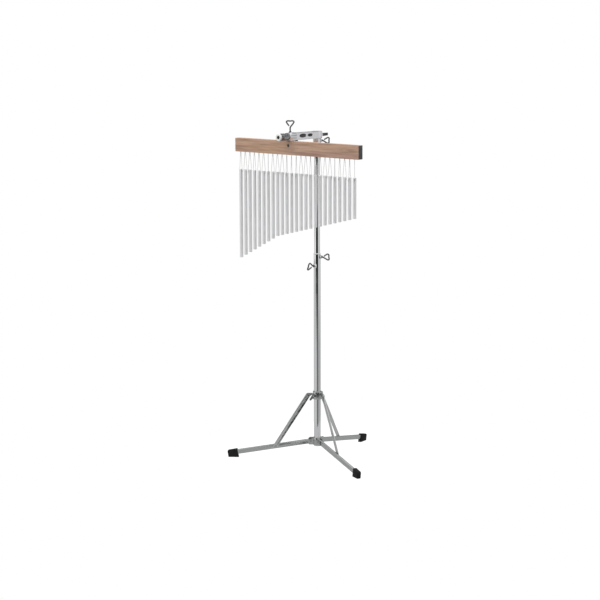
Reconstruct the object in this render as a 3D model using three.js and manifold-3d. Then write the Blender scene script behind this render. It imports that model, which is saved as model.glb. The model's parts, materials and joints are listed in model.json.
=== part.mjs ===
// Bar chimes on a folding floor stand. Millimetres, +Z up.
// Twenty-five tuned rods hang on cords under a wooden bar. A cast arm holds the bar in front of a
// two-part tube, and the tube stands on a flat tripod with three folding legs.
// The stand is drawn with its tube on the Z axis and the bar along X in front of it (-Y).
// The last lines move the origin to the middle of the footprint.
import * as THREE from "three";
import { mergeVertices } from "three/addons/utils/BufferGeometryUtils.js";
import Module from "manifold-3d";

const wasm = await Module();
wasm.setup();

// ---- driving dimensions -------------------------------------------------------------------
const GAP = 0.3; // running gap between touching pieces
const FACETS = 20; // sides of a round piece

const CHIMES = 25;
const CHIME_PITCH = 16.7;
const CHIME_RADIUS = 4.75;
const CHIME_LONGEST = 246;
const LONG_STEP = 8.85; // each of the first rods is this much shorter than the one before
const LONG_STEPS = 8;
const SHORT_STEP = 4.2; // the step of all the others
const CORD_RADIUS = 0.65;
const CORD_DROP = 49; // bar underside to rod top
const HOLE_BELOW_TOP = 7; // cross hole in the rod, below its top

const BAR = { left: -193, right: 242, thick: 17.5, tall: 37.2, bottom: 864.3, edge: 2.4 };
const BAR_Y = -113; // middle plane of the bar, in front of the tube
const FIRST_CHIME_X = BAR.left + 13.5;
const CORD_HOLE = { radius: 1.5, depth: 7 };

const DOWEL = { radius: 3.9, length: 15.4, below: 11.9 };
const SCREW_RADIUS = 2.45; // M5 shank
const THREAD_HOLE = SCREW_RADIUS + GAP + 0.05;

const UPPER_TUBE = { radius: 7.95, wall: 1.2, bottom: 350, top: 916.5 };
const LOWER_TUBE = { radius: 9.525, wall: 0.925, bottom: 36, top: 581.7 };
const GUIDE = { inner: 8.2, skirt: 8.42, flange: 9.9, depth: 3.5, height: 2.2 };

const ARM = { bottom: 902.6, top: 921.5, width: 17, socket: 14.5, sleeve: 11, sleeveBottom: 889 };
const BARREL = { radius: 10.8, front: -124, back: -97, z: 913.6 };
const SPIGOT = { radius: 6.2, front: -155.7 };
const BORE_RADIUS = 4.3;
const ARM_SCREW_BOSS = { azimuth: 41, z: 896, radius: 4.6, reach: 12.6 };

const HEIGHT_SCREWS = [
  { name: "height_screw_upper", azimuth: 31, z: 573.5 },
  { name: "height_screw_lower", azimuth: 262, z: 549 },
];
const BOSS = { radius: 4.8, reach: 12.5 };

const WIRE_RADIUS = 2;
const SHORT_STEM = 2.5; // of the wing screws that point outwards
const LOOP = { width: 20.6, height: 18 }; // wing loop, on the wire's centre line

const LEG_AZIMUTHS = { back: 96, left: 216, front: 336 };
const LEG = {
  pivotR: 20,
  pivotZ: 49.5,
  slope: 9.4,
  width: 7,
  tall: 12.8,
  wall: 1.3,
  back: 3.5,
  reach: 221,
};
const STRUT = { pivotAlong: 100.3, width: 12.5, thick: 1.6, side: 3.9 };
const COLLAR = { z: 182, tall: 22, inner: 9.9, outer: 12.3, earR: 26, earRadius: 6.2, plate: 1.5 };
const COLLAR_BOSS = { azimuth: 282, radius: 4.8, reach: 14 };
const HUB = { bottom: 39, tall: 22, outer: 11.8, plate: 1.5, earLength: 26 };
const RIVET = { shank: 2, hole: 2.3, head: 3.8, headThick: 1.2 };
const FOOT = { r: 237.3, length: 29.5, width: 11.5, tall: 19.5, edge: 1.5 }; // tall: at its outer end

// ---- finishes -----------------------------------------------------------------------------
const finish = (color, roughness, metalness) =>
  new THREE.MeshStandardMaterial({ color, roughness, metalness });
const chrome = () => finish(0xc8cacc, 0.15, 1);
const castChrome = () => finish(0xd2d2d8, 0.3, 1);
const satinAluminium = () => finish(0xcfcfcf, 0.4, 1);
const zincSteel = () => finish(0xb4b7b7, 0.35, 1);
const darkWire = () => finish(0x6b6d70, 0.25, 1);
const wood = () => finish(0xaf917d, 0.6, 0);
const blackRubber = () => finish(0x111111, 0.8, 0);
const whiteNylon = () => finish(0xf4f4f2, 0.5, 0);

// ---- solid helpers ------------------------------------------------------------------------
const radians = THREE.MathUtils.degToRad;
const at = (x, y, z) => new THREE.Matrix4().makeTranslation(x, y, z);
const turnZ = (degrees) => new THREE.Matrix4().makeRotationZ(radians(degrees));

// A closed geometry, placed by a matrix, as a manifold-3d solid.
function solid(geometry, matrix = new THREE.Matrix4()) {
  const bare = geometry.clone();
  bare.deleteAttribute("normal");
  bare.deleteAttribute("uv");
  bare.applyMatrix4(matrix);
  const merged = mergeVertices(bare, 1e-4);
  const index = merged.index.array;
  const triVerts = [];
  for (let i = 0; i < index.length; i += 3) {
    const [a, b, c] = [index[i], index[i + 1], index[i + 2]];
    if (a !== b && b !== c && a !== c) triVerts.push(a, b, c);
  }
  return new wasm.Manifold(
    new wasm.Mesh({
      numProp: 3,
      vertProperties: merged.attributes.position.array,
      triVerts: new Uint32Array(triVerts),
    }),
  );
}

const join = (...solids) => solids.reduce((a, b) => a.add(b));
const cut = (body, ...tools) => tools.reduce((a, b) => a.subtract(b), body);

// A solid back as a three.js geometry.
function geometryOf(body) {
  const mesh = body.getMesh();
  const geometry = new THREE.BufferGeometry();
  geometry.setAttribute("position", new THREE.BufferAttribute(mesh.vertProperties, 3));
  geometry.setIndex(new THREE.BufferAttribute(mesh.triVerts, 1));
  geometry.computeVertexNormals();
  return geometry;
}

// A round rod between two points.
function rod(radius, from, to, facets = FACETS) {
  const start = new THREE.Vector3(...from);
  const span = new THREE.Vector3(...to).sub(start);
  const turn = new THREE.Quaternion().setFromUnitVectors(
    new THREE.Vector3(0, 1, 0),
    span.clone().normalize(),
  );
  const middle = start.addScaledVector(span, 0.5);
  const matrix = new THREE.Matrix4().compose(middle, turn, new THREE.Vector3(1, 1, 1));
  return solid(new THREE.CylinderGeometry(radius, radius, span.length(), facets), matrix);
}

// A point at a height and a distance from the tube, seen in a compass direction from above.
const polar = (azimuth, r, z) => [
  r * Math.cos(radians(azimuth)),
  r * Math.sin(radians(azimuth)),
  z,
];

const box = (size, centre) => solid(new THREE.BoxGeometry(...size), at(...centre));

// A turned piece: points are [radius, height] along Z.
const turned = (points, facets = FACETS) =>
  new THREE.LatheGeometry(points.map(([r, z]) => new THREE.Vector2(r, z)), facets).rotateX(
    Math.PI / 2,
  );

// A ring or pipe along Z.
const pipe = (inner, outer, bottom, top, facets = FACETS) =>
  turned(
    [
      [inner, bottom],
      [outer, bottom],
      [outer, top],
      [inner, top],
      [inner, bottom],
    ],
    facets,
  );

// A flat plate: an outline in X and Z, with its thickness along Y from near to far.
function plateXZ(shape, near, far, curveSegments = 3) {
  const geometry = new THREE.ExtrudeGeometry(shape, {
    depth: far - near,
    bevelEnabled: false,
    curveSegments,
  });
  return geometry.rotateX(Math.PI / 2).translate(0, far, 0);
}

function roundedRectangle(width, height, radius) {
  const [x, y] = [width / 2, height / 2];
  const shape = new THREE.Shape();
  shape.moveTo(-x + radius, -y);
  shape.lineTo(x - radius, -y);
  shape.absarc(x - radius, -y + radius, radius, -Math.PI / 2, 0);
  shape.absarc(x - radius, y - radius, radius, 0, Math.PI / 2);
  shape.absarc(-x + radius, y - radius, radius, Math.PI / 2, Math.PI);
  shape.absarc(-x + radius, -y + radius, radius, Math.PI, 1.5 * Math.PI);
  return shape;
}

const root = new THREE.Group();

function add(name, geometry, material, parent = root) {
  const mesh = new THREE.Mesh(geometry, material);
  mesh.name = name;
  parent.add(mesh);
  return mesh;
}

// ---- chimes: a rod with its cord, tied to the bar above it ---------------------------------
const chimeLength = (i) =>
  CHIME_LONGEST - LONG_STEP * Math.min(i, LONG_STEPS) - SHORT_STEP * Math.max(i - LONG_STEPS, 0);

// The cord leaves the bar at one point and runs down both sides of the rod, to its cross hole.
function chimeSolid(length) {
  const top = -CORD_DROP;
  const knot = [0, 0, -GAP - CORD_RADIUS];
  const strands = [-1, 1].map((side) =>
    rod(CORD_RADIUS, knot, [side * (CHIME_RADIUS + CORD_RADIUS / 2), 0, top - HOLE_BELOW_TOP], 4),
  );
  return join(rod(CHIME_RADIUS, [0, 0, top - length], [0, 0, top], 12), ...strands);
}

for (let i = 0; i < CHIMES; i++) {
  const name = "chime_" + String(i + 1).padStart(2, "0");
  const chime = add(name, geometryOf(chimeSolid(chimeLength(i))), satinAluminium());
  chime.position.set(FIRST_CHIME_X + i * CHIME_PITCH, BAR_Y, BAR.bottom);
}

// ---- wooden bar: bored from below for the cords, and for its clamp screw and dowel ----------
const barTop = BAR.bottom + BAR.tall;
const dowelZ = barTop - DOWEL.below;
const barFront = BAR_Y - BAR.thick / 2;

function barSolid() {
  const chamfer = 1.8;
  const length = BAR.right - BAR.left;
  const geometry = new THREE.ExtrudeGeometry(
    roundedRectangle(BAR.thick - 2 * chamfer, BAR.tall - 2 * chamfer, BAR.edge - chamfer),
    {
      depth: length - 2 * chamfer,
      bevelThickness: chamfer,
      bevelSize: chamfer,
      bevelSegments: 2,
      curveSegments: 3,
    },
  );
  const axes = new THREE.Matrix4().makeBasis(
    new THREE.Vector3(0, 1, 0),
    new THREE.Vector3(0, 0, 1),
    new THREE.Vector3(1, 0, 0),
  );
  const place = at(BAR.left + chamfer, BAR_Y, BAR.bottom + BAR.tall / 2).multiply(axes);
  const cordHoles = Array.from({ length: CHIMES }, (_, i) => {
    const x = FIRST_CHIME_X + i * CHIME_PITCH;
    return rod(
      CORD_HOLE.radius,
      [x, BAR_Y, BAR.bottom - 1],
      [x, BAR_Y, BAR.bottom + CORD_HOLE.depth],
      6,
    );
  });
  const dowelHole = rod(
    DOWEL.radius + GAP,
    [0, barFront - 1, dowelZ],
    [0, barFront + DOWEL.length + 0.8, dowelZ],
  );
  const screwHole = rod(THREAD_HOLE, [0, BAR_Y, dowelZ - 9], [0, BAR_Y, barTop + 1], 16);
  return cut(solid(geometry, place), ...cordHoles, dowelHole, screwHole);
}

add("wooden_bar", geometryOf(barSolid()), wood());

const dowel = cut(
  rod(DOWEL.radius, [0, barFront + 0.5, dowelZ], [0, barFront + DOWEL.length, dowelZ], 20),
  rod(THREAD_HOLE, [0, BAR_Y, dowelZ - 8], [0, BAR_Y, dowelZ + 8], 16),
);
add("cross_dowel", geometryOf(dowel), darkWire());

// ---- holder arm: a casting from the tube socket to the barrel over the bar ------------------
// Half the arm's width, seen from above: it widens from the barrel to the socket.
const WIDE_AT_SOCKET = 13.6;
function armHalf(y) {
  const share = (y - BARREL.back) / -BARREL.back;
  return ARM.width / 2 + share * (WIDE_AT_SOCKET - ARM.width / 2);
}

function armSolid() {
  const side = new THREE.Shape();
  side.moveTo(BARREL.front + 2, ARM.bottom - 0.6);
  side.lineTo(BAR_Y + 11, ARM.bottom - 0.6);
  side.lineTo(BAR_Y + 14, ARM.bottom);
  side.lineTo(0, ARM.bottom);
  side.lineTo(0, ARM.top - 0.5);
  side.lineTo(BAR_Y, ARM.top + 2);
  side.lineTo(BARREL.front + 2, ARM.top - 1);
  const axes = new THREE.Matrix4().makeBasis(
    new THREE.Vector3(0, 1, 0),
    new THREE.Vector3(0, 0, 1),
    new THREE.Vector3(1, 0, 0),
  );
  const depth = 2 * WIDE_AT_SOCKET;
  const profile = solid(
    new THREE.ExtrudeGeometry(side, { depth, bevelEnabled: false }),
    at(-depth / 2, 0, 0).multiply(axes),
  );
  const plan = new THREE.Shape();
  plan.moveTo(armHalf(BARREL.back), BARREL.front);
  plan.lineTo(armHalf(BARREL.back), BARREL.back);
  plan.lineTo(armHalf(0), 0);
  plan.lineTo(-armHalf(0), 0);
  plan.lineTo(-armHalf(BARREL.back), BARREL.back);
  plan.lineTo(-armHalf(BARREL.back), BARREL.front);
  const body = profile.intersect(
    solid(
      new THREE.ExtrudeGeometry(plan, {
        depth: ARM.top - ARM.bottom + 6,
        bevelThickness: 1,
        bevelSize: 1,
        bevelOffset: -1,
        bevelSegments: 1,
      }),
      at(0, 0, ARM.bottom - 1),
    ),
  );
  const z = BARREL.z;
  const barrel = rod(BARREL.radius, [0, BARREL.front, z], [0, BARREL.back, z]);
  const spigot = rod(SPIGOT.radius, [0, SPIGOT.front, z], [0, BARREL.front + 5, z]);
  const screwSeat = rod(6, [0, BAR_Y, z], [0, BAR_Y, ARM.top + 3.4], 20);
  const socket = rod(ARM.socket, [0, 0, ARM.bottom], [0, 0, ARM.top], 32);
  const sleeve = rod(ARM.sleeve, [0, 0, ARM.sleeveBottom], [0, 0, ARM.bottom + 1], 32);
  const boss = ARM_SCREW_BOSS;
  const outward = (r) => polar(boss.azimuth, r, boss.z);
  const screwBoss = rod(boss.radius, outward(6), outward(boss.reach), 16);
  const lug = new THREE.Shape();
  lug.moveTo(-8, 8);
  lug.lineTo(8, 8);
  lug.lineTo(7, 24);
  lug.lineTo(2, 46);
  lug.lineTo(-2, 46);
  lug.lineTo(-7, 24);
  const lugPlate = (bottom) =>
    solid(new THREE.ExtrudeGeometry(lug, { depth: 3, bevelEnabled: false }), at(0, 0, bottom));
  const lugPlates = join(lugPlate(907.2), lugPlate(911.8));
  const pocket = (sideSign, front, back, tall) => {
    const middle = (front + back) / 2;
    return box([5, back - front, tall], [sideSign * armHalf(middle), middle, z + 0.6]);
  };
  return cut(
    join(body, barrel, spigot, screwSeat, socket, sleeve, screwBoss, lugPlates),
    rod(UPPER_TUBE.radius + GAP, [0, 0, ARM.sleeveBottom - 1], [0, 0, UPPER_TUBE.top + GAP], 32),
    rod(THREAD_HOLE, [0, BAR_Y, ARM.bottom - 5], [0, BAR_Y, ARM.top + 6], 16),
    rod(BORE_RADIUS, [0, SPIGOT.front - 1, z], [0, BARREL.front - 2, z]),
    rod(THREAD_HOLE, outward(5), outward(boss.reach + 1), 16),
    ...[-1, 1].flatMap((s) => [pocket(s, -84, -58, 9), pocket(s, -51, -33, 7)]),
  );
}

add("holder_arm", geometryOf(armSolid()), castChrome());

// The knurled nut and the white bush sit on the spigot, in front of the barrel.
function ontoSpigot(geometry) {
  return geometry.rotateX(Math.PI / 2).translate(0, 0, BARREL.z);
}
const nut = { inner: SPIGOT.radius + GAP, outer: 10.2, back: -BARREL.front + GAP, front: 150.2 };
const nutOutline = [
  [nut.inner, nut.back],
  [nut.outer - 1, nut.back],
  [nut.outer, nut.back + 1],
];
const NUT_GROOVES = 2;
const grooveStep = (nut.front - nut.back) / (NUT_GROOVES + 1);
for (let i = 1; i <= NUT_GROOVES; i++) {
  const middle = nut.back + i * grooveStep;
  nutOutline.push([nut.outer, middle - 1.6], [nut.outer - 1.2, middle - 0.8]);
  nutOutline.push([nut.outer - 1.2, middle + 0.8], [nut.outer, middle + 1.6]);
}
nutOutline.push([nut.outer, nut.front - 1], [nut.outer - 1, nut.front]);
nutOutline.push([nut.inner, nut.front], [nut.inner, nut.back]);
add("ring_nut", ontoSpigot(turned(nutOutline)), darkWire());

const bush = { back: nut.front + 2 * GAP, step: -SPIGOT.front + GAP, front: 163, outer: 9.5 };
const bushOutline = [
  [nut.inner, bush.back],
  [bush.outer, bush.back],
  [bush.outer, bush.front - 0.8],
  [bush.outer - 0.8, bush.front],
  [BORE_RADIUS, bush.front],
  [BORE_RADIUS, bush.step],
  [nut.inner, bush.step],
  [nut.inner, bush.back],
];
add("nylon_bush", ontoSpigot(turned(bushOutline)), whiteNylon());

const pad = new THREE.BoxGeometry(10, 12, 6.2).translate(0, BAR_Y + 21, ARM.bottom - 3.4);
add("steady_pad", pad, blackRubber());

// ---- tubes --------------------------------------------------------------------------------
const upper = UPPER_TUBE;
add("upper_tube", pipe(upper.radius - upper.wall, upper.radius, upper.bottom, upper.top, 32), chrome());

function lowerTubeSolid() {
  const { radius, wall, bottom, top } = LOWER_TUBE;
  const bosses = HEIGHT_SCREWS.map(({ azimuth, z }) =>
    rod(BOSS.radius, polar(azimuth, 7, z), polar(azimuth, BOSS.reach, z), 16),
  );
  const holes = HEIGHT_SCREWS.map(({ azimuth, z }) =>
    rod(THREAD_HOLE, polar(azimuth, 4, z), polar(azimuth, BOSS.reach + 1, z), 16),
  );
  const bore = rod(radius - wall, [0, 0, bottom - 1], [0, 0, top + 1], 32);
  return cut(join(rod(radius, [0, 0, bottom], [0, 0, top], 32), ...bosses), bore, ...holes);
}
add("lower_tube", geometryOf(lowerTubeSolid()), chrome());

const flangeBottom = LOWER_TUBE.top + GAP;
const guideOutline = [
  [GUIDE.inner, flangeBottom - GUIDE.depth],
  [GUIDE.skirt, flangeBottom - GUIDE.depth],
  [GUIDE.skirt, flangeBottom],
  [GUIDE.flange, flangeBottom],
  [GUIDE.flange, flangeBottom + GUIDE.height - 1],
  [GUIDE.flange - 1, flangeBottom + GUIDE.height],
  [GUIDE.inner, flangeBottom + GUIDE.height],
  [GUIDE.inner, flangeBottom - GUIDE.depth],
];
add("guide_bush", turned(guideOutline, 32), whiteNylon());

// ---- wing screws: a threaded shank with a loop of bent wire ---------------------------------
// Drawn along +Z: the tip of the shank at 0, the loop in the XZ plane above the stem.
function wingScrewGeometry(shank, stem) {
  const start = shank + stem;
  const w = LOOP.width / 2;
  const h = LOOP.height;
  const line = [
    [0, -stem],
    [0, -1],
    [2.2, 2.6],
    [0.72 * w, 0.48 * h],
    [w, 0.78 * h],
    [0.86 * w, 0.97 * h],
    [0.45 * w, h],
    [0, 0.955 * h],
    [-0.45 * w, h],
    [-0.86 * w, 0.97 * h],
    [-w, 0.78 * h],
    [-0.72 * w, 0.48 * h],
    [-5.2, 0.26 * h],
  ].map(([x, z]) => new THREE.Vector3(x, 0, start + z));
  const section = new THREE.Shape();
  section.absarc(0, 0, WIRE_RADIUS, 0, 2 * Math.PI);
  const wire = new THREE.ExtrudeGeometry(section, {
    steps: 26,
    curveSegments: 3,
    extrudePath: new THREE.CatmullRomCurve3(line, false, "centripetal"),
  });
  const body = join(
    solid(wire),
    rod(SCREW_RADIUS, [0, 0, 0], [0, 0, shank + 0.4], 12),
    rod(SCREW_RADIUS + 1, [0, 0, shank], [0, 0, shank + 2.4], 16),
  );
  return geometryOf(body);
}

// Places a wing screw with its tip at a point and its axis along a direction.
function wingScrew(name, shank, stem, tip, direction, spin) {
  const screw = add(name, wingScrewGeometry(shank, stem), darkWire());
  const turn = new THREE.Quaternion().setFromUnitVectors(
    new THREE.Vector3(0, 0, 1),
    new THREE.Vector3(...direction),
  );
  const roll = new THREE.Quaternion().setFromAxisAngle(new THREE.Vector3(0, 0, 1), radians(spin));
  screw.quaternion.copy(turn.multiply(roll));
  screw.position.set(...tip);
}

const seatTop = ARM.top + 3.4 + GAP;
const tipZ = dowelZ - 5;
wingScrew("bar_screw", seatTop - tipZ, 12.5, [0, BAR_Y, tipZ], [0, 0, 1], 40);

function radialScrew(name, azimuth, z, tipR, seatR, spin) {
  const direction = polar(azimuth, 1, 0);
  wingScrew(name, seatR - tipR, SHORT_STEM, polar(azimuth, tipR, z), direction, spin);
}
const tubeGap = 2 * GAP;
const upperTubeTip = UPPER_TUBE.radius + tubeGap;
const armSeat = ARM_SCREW_BOSS.reach + GAP;
radialScrew("arm_screw", ARM_SCREW_BOSS.azimuth, ARM_SCREW_BOSS.z, upperTubeTip, armSeat, 75);
for (const { name, azimuth, z } of HEIGHT_SCREWS) {
  radialScrew(name, azimuth, z, upperTubeTip, BOSS.reach + GAP, 60);
}
const collarTip = LOWER_TUBE.radius + tubeGap;
const collarSeat = COLLAR_BOSS.reach + GAP;
radialScrew("collar_screw", COLLAR_BOSS.azimuth, COLLAR.z, collarTip, collarSeat, 70);

// ---- tripod -------------------------------------------------------------------------------
// Each leg lives in its own vertical plane: X outwards, Y across the leg, Z up.
const alongX = new THREE.Matrix4().makeBasis(
  new THREE.Vector3(0, 1, 0),
  new THREE.Vector3(0, 0, 1),
  new THREE.Vector3(1, 0, 0),
);

// A folded channel, open below, with a rounded pivot hole at its inner end.
function legSolid() {
  const [y, z, t] = [LEG.width / 2, LEG.tall / 2, LEG.wall];
  const section = new THREE.Shape();
  section.moveTo(-y, -z);
  section.lineTo(-y + t, -z);
  section.lineTo(-y + t, z - t);
  section.lineTo(y - t, z - t);
  section.lineTo(y - t, -z);
  section.lineTo(y, -z);
  section.lineTo(y, z - 1);
  section.lineTo(y - 1, z);
  section.lineTo(-y + 1, z);
  section.lineTo(-y, z - 1);
  const channel = new THREE.ExtrudeGeometry(section, {
    depth: LEG.reach + LEG.back,
    bevelEnabled: false,
  });
  return cut(
    solid(channel, at(-LEG.back, 0, 0).multiply(alongX)),
    rod(RIVET.hole, [0, -y - 1, 0], [0, y + 1, 0], 12),
  );
}

// A rivet across the leg: a shank with a head at one or both ends.
function rivetSolid(near, far, headedNear) {
  const shank = rod(RIVET.shank, [0, near, 0], [0, far, 0], 12);
  const farHead = rod(RIVET.head, [0, far - 0.1, 0], [0, far + RIVET.headThick, 0], 12);
  const nearHead = rod(RIVET.head, [0, near - RIVET.headThick, 0], [0, near + 0.1, 0], 12);
  return headedNear ? join(shank, farHead, nearHead) : join(shank, farHead);
}

// The rubber foot: a cap along the leg, cut flat below, with a pocket for the end of the leg.
function footSolid(slope) {
  const lean = Math.tan(radians(slope));
  const half = FOOT.length / 2;
  const innerTall = FOOT.tall + FOOT.length * lean;
  const side = new THREE.Shape();
  side.moveTo(-half, 0);
  side.lineTo(half - 1, 0);
  side.lineTo(half, 1);
  side.lineTo(half + (FOOT.tall - 3) * lean, FOOT.tall - 3);
  side.lineTo(half + FOOT.tall * lean - 2.5, FOOT.tall);
  side.lineTo(-half + innerTall * lean + 1, innerTall);
  side.lineTo(-half + innerTall * lean, innerTall - 1);
  const block = new THREE.ExtrudeGeometry(side, {
    depth: FOOT.width - 2 * FOOT.edge,
    bevelThickness: FOOT.edge,
    bevelSize: FOOT.edge,
    bevelOffset: -FOOT.edge,
    bevelSegments: 2,
  });
  block.rotateX(Math.PI / 2).translate(FOOT.r, FOOT.width / 2 - FOOT.edge, 0);
  const pocketLength = 30;
  const pocket = new THREE.BoxGeometry(pocketLength, LEG.width + 2 * GAP, LEG.tall + 2 * GAP);
  const legFrame = at(LEG.pivotR, 0, LEG.pivotZ).multiply(
    new THREE.Matrix4().makeRotationY(radians(slope)),
  );
  const pocketMiddle = at(LEG.reach + GAP - pocketLength / 2, 0, 0);
  return cut(solid(block), solid(pocket, legFrame.multiply(pocketMiddle)));
}

// Where the strut meets the leg, and the strut's length and slope that follow from it.
const strutFootX = LEG.pivotR + STRUT.pivotAlong * Math.cos(radians(LEG.slope));
const strutFootZ = LEG.pivotZ - STRUT.pivotAlong * Math.sin(radians(LEG.slope));
const strutRun = strutFootX - COLLAR.earR;
const strutFall = COLLAR.z - strutFootZ;
const strutLength = Math.hypot(strutRun, strutFall);
const strutSlope = THREE.MathUtils.radToDeg(Math.atan2(strutFall, strutRun));

// A flat strap with round ends, drawn along +X from the collar end.
function strutSolid() {
  const r = STRUT.width / 2;
  const shape = new THREE.Shape();
  shape.absarc(0, 0, r, Math.PI / 2, 1.5 * Math.PI);
  shape.absarc(strutLength, 0, r, -Math.PI / 2, Math.PI / 2);
  const holes = [0, strutLength].map((x) => {
    const hole = new THREE.Path();
    hole.absarc(x, 0, RIVET.hole, 0, 2 * Math.PI, true);
    return hole;
  });
  shape.holes.push(...holes);
  return solid(plateXZ(shape, STRUT.side, STRUT.side + STRUT.thick));
}

const earInner = STRUT.side - GAP - COLLAR.plate;
const earOuter = STRUT.side + STRUT.thick + GAP;

// A plate that stands out from a ring, rounded about its rivet.
function earSolid(reach, radius, z, near, far) {
  const shape = new THREE.Shape();
  shape.moveTo(8.5, z - radius);
  shape.absarc(reach, z, radius, -Math.PI / 2, Math.PI / 2);
  shape.lineTo(8.5, z + radius);
  const hole = rod(RIVET.hole, [reach, near - 1, z], [reach, far + 1, z], 12);
  return cut(solid(plateXZ(shape, near, far)), hole);
}

function collarSolid() {
  const low = COLLAR.z - COLLAR.tall / 2;
  const ears = Object.values(LEG_AZIMUTHS).flatMap((azimuth) =>
    [earInner, earOuter].map((near) =>
      earSolid(COLLAR.earR, COLLAR.earRadius, COLLAR.z, near, near + COLLAR.plate).transform(
        turnZ(azimuth).elements,
      ),
    ),
  );
  const band = rod(COLLAR.outer, [0, 0, low], [0, 0, low + COLLAR.tall], 32);
  const outward = (r) => polar(COLLAR_BOSS.azimuth, r, COLLAR.z);
  const boss = rod(COLLAR_BOSS.radius, outward(10), outward(COLLAR_BOSS.reach), 16);
  return cut(
    join(band, boss, ...ears),
    rod(COLLAR.inner, [0, 0, low - 1], [0, 0, low + COLLAR.tall + 1], 32),
    rod(THREAD_HOLE, outward(8), outward(COLLAR_BOSS.reach + 1), 16),
  );
}
add("leg_collar", geometryOf(collarSolid()), zincSteel());

// The hub is a ring with three channel brackets, closed below and open above.
function hubSolid() {
  const inner = LEG.width / 2 + GAP;
  const top = HUB.bottom + HUB.tall;
  const floor = 1.5;
  const pivotAt = (y) => [LEG.pivotR, y, LEG.pivotZ];
  const brackets = Object.values(LEG_AZIMUTHS).flatMap((azimuth) => {
    const shape = new THREE.Shape();
    shape.moveTo(8.5, HUB.bottom + 1);
    shape.lineTo(HUB.earLength - 3, HUB.bottom + 1);
    shape.lineTo(HUB.earLength, HUB.bottom + 4);
    shape.lineTo(HUB.earLength, top - 5);
    shape.lineTo(HUB.earLength - 4, top - 1);
    shape.lineTo(8.5, top - 1);
    const walls = [-inner - HUB.plate, inner].map((near) =>
      cut(
        solid(plateXZ(shape, near, near + HUB.plate)),
        rod(RIVET.hole, pivotAt(near - 1), pivotAt(near + 3), 12),
      ),
    );
    const web = box(
      [HUB.earLength - 12, 2 * (inner + HUB.plate) - 0.4, floor],
      [(HUB.earLength + 6) / 2, 0, HUB.bottom + 1 + floor / 2],
    );
    return [...walls, web].map((piece) => piece.transform(turnZ(azimuth).elements));
  });
  return cut(
    join(rod(HUB.outer, [0, 0, HUB.bottom], [0, 0, top], 32), ...brackets),
    rod(LOWER_TUBE.radius + GAP, [0, 0, HUB.bottom - 1], [0, 0, top + 1], 32),
  );
}
add("leg_hub", geometryOf(hubSolid()), zincSteel());

const legGeometry = geometryOf(legSolid());
const strutGeometry = geometryOf(strutSolid());
const footGeometry = geometryOf(footSolid(LEG.slope));
const hubHalf = LEG.width / 2 + GAP + HUB.plate + GAP;
const hubRivet = geometryOf(rivetSolid(-hubHalf, hubHalf, true));
const collarRivet = geometryOf(
  rivetSolid(earInner - GAP, earOuter + COLLAR.plate + GAP, true),
);
const legRivet = geometryOf(rivetSolid(STRUT.side + 0.1, STRUT.side + STRUT.thick + GAP, false));

for (const [side, azimuth] of Object.entries(LEG_AZIMUTHS)) {
  const plane = new THREE.Group();
  plane.rotation.z = radians(azimuth);
  root.add(plane);

  const leg = add("leg_" + side, legGeometry, zincSteel(), plane);
  leg.position.set(LEG.pivotR, 0, LEG.pivotZ);
  leg.rotation.y = radians(LEG.slope);
  add("foot_" + side, footGeometry, blackRubber(), plane);
  add("hub_rivet_" + side, hubRivet, zincSteel(), plane).position.copy(leg.position);

  const strutPlane = new THREE.Group();
  strutPlane.position.set(COLLAR.earR, 0, COLLAR.z);
  strutPlane.rotation.y = radians(strutSlope);
  plane.add(strutPlane);
  add("strut_" + side, strutGeometry, zincSteel(), strutPlane);
  add("leg_rivet_" + side, legRivet, zincSteel(), strutPlane).position.x = strutLength;
  add("collar_rivet_" + side, collarRivet, zincSteel(), plane).position.set(
    COLLAR.earR,
    0,
    COLLAR.z,
  );
}

// ---- origin: the middle of the footprint, on the floor --------------------------------------
root.updateMatrixWorld(true);
const extent = new THREE.Box3().setFromObject(root, true);
const middle = extent.getCenter(new THREE.Vector3());
const part = new THREE.Group();
part.position.set(-middle.x, -middle.y, -extent.min.z);
part.add(root);

export default part;
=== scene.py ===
# Bar chimes on a folding floor stand: twenty-five tuned rods hang on cords under a wooden bar, which
# a cast arm holds in front of a two-part chromed tube on a flat tripod. Built round the fixed frame.
import json
import math
import random

import bmesh
import bpy
from mathutils import Matrix, Vector


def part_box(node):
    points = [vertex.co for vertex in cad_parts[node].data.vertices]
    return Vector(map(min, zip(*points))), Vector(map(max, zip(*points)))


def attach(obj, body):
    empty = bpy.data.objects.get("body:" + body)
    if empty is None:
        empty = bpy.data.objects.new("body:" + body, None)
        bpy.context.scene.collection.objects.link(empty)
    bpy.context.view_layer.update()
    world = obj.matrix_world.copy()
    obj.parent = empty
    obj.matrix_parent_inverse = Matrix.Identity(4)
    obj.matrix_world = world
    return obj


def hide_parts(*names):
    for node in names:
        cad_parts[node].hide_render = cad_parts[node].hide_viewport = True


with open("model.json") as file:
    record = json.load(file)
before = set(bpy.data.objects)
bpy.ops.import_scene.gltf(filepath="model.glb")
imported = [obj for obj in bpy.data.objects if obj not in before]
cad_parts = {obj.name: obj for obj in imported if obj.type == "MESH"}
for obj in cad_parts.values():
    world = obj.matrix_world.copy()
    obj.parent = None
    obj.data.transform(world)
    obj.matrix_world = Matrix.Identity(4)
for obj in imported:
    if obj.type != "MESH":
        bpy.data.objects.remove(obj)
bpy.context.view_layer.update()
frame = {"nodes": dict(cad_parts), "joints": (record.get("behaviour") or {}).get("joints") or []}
scene = bpy.context.scene
mm = 0.001

# ---- studio -------------------------------------------------------------------------------------
# A pale floor under an even white sky, one large soft lamp overhead, and a camera at standing
# height. The sky has a bright side, a dimmer side and a narrow dark gap, which chrome needs.
tube_low, tube_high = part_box("upper_tube")
tube_x, tube_y = (tube_low.x + tube_high.x) / 2, (tube_low.y + tube_high.y) / 2


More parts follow.
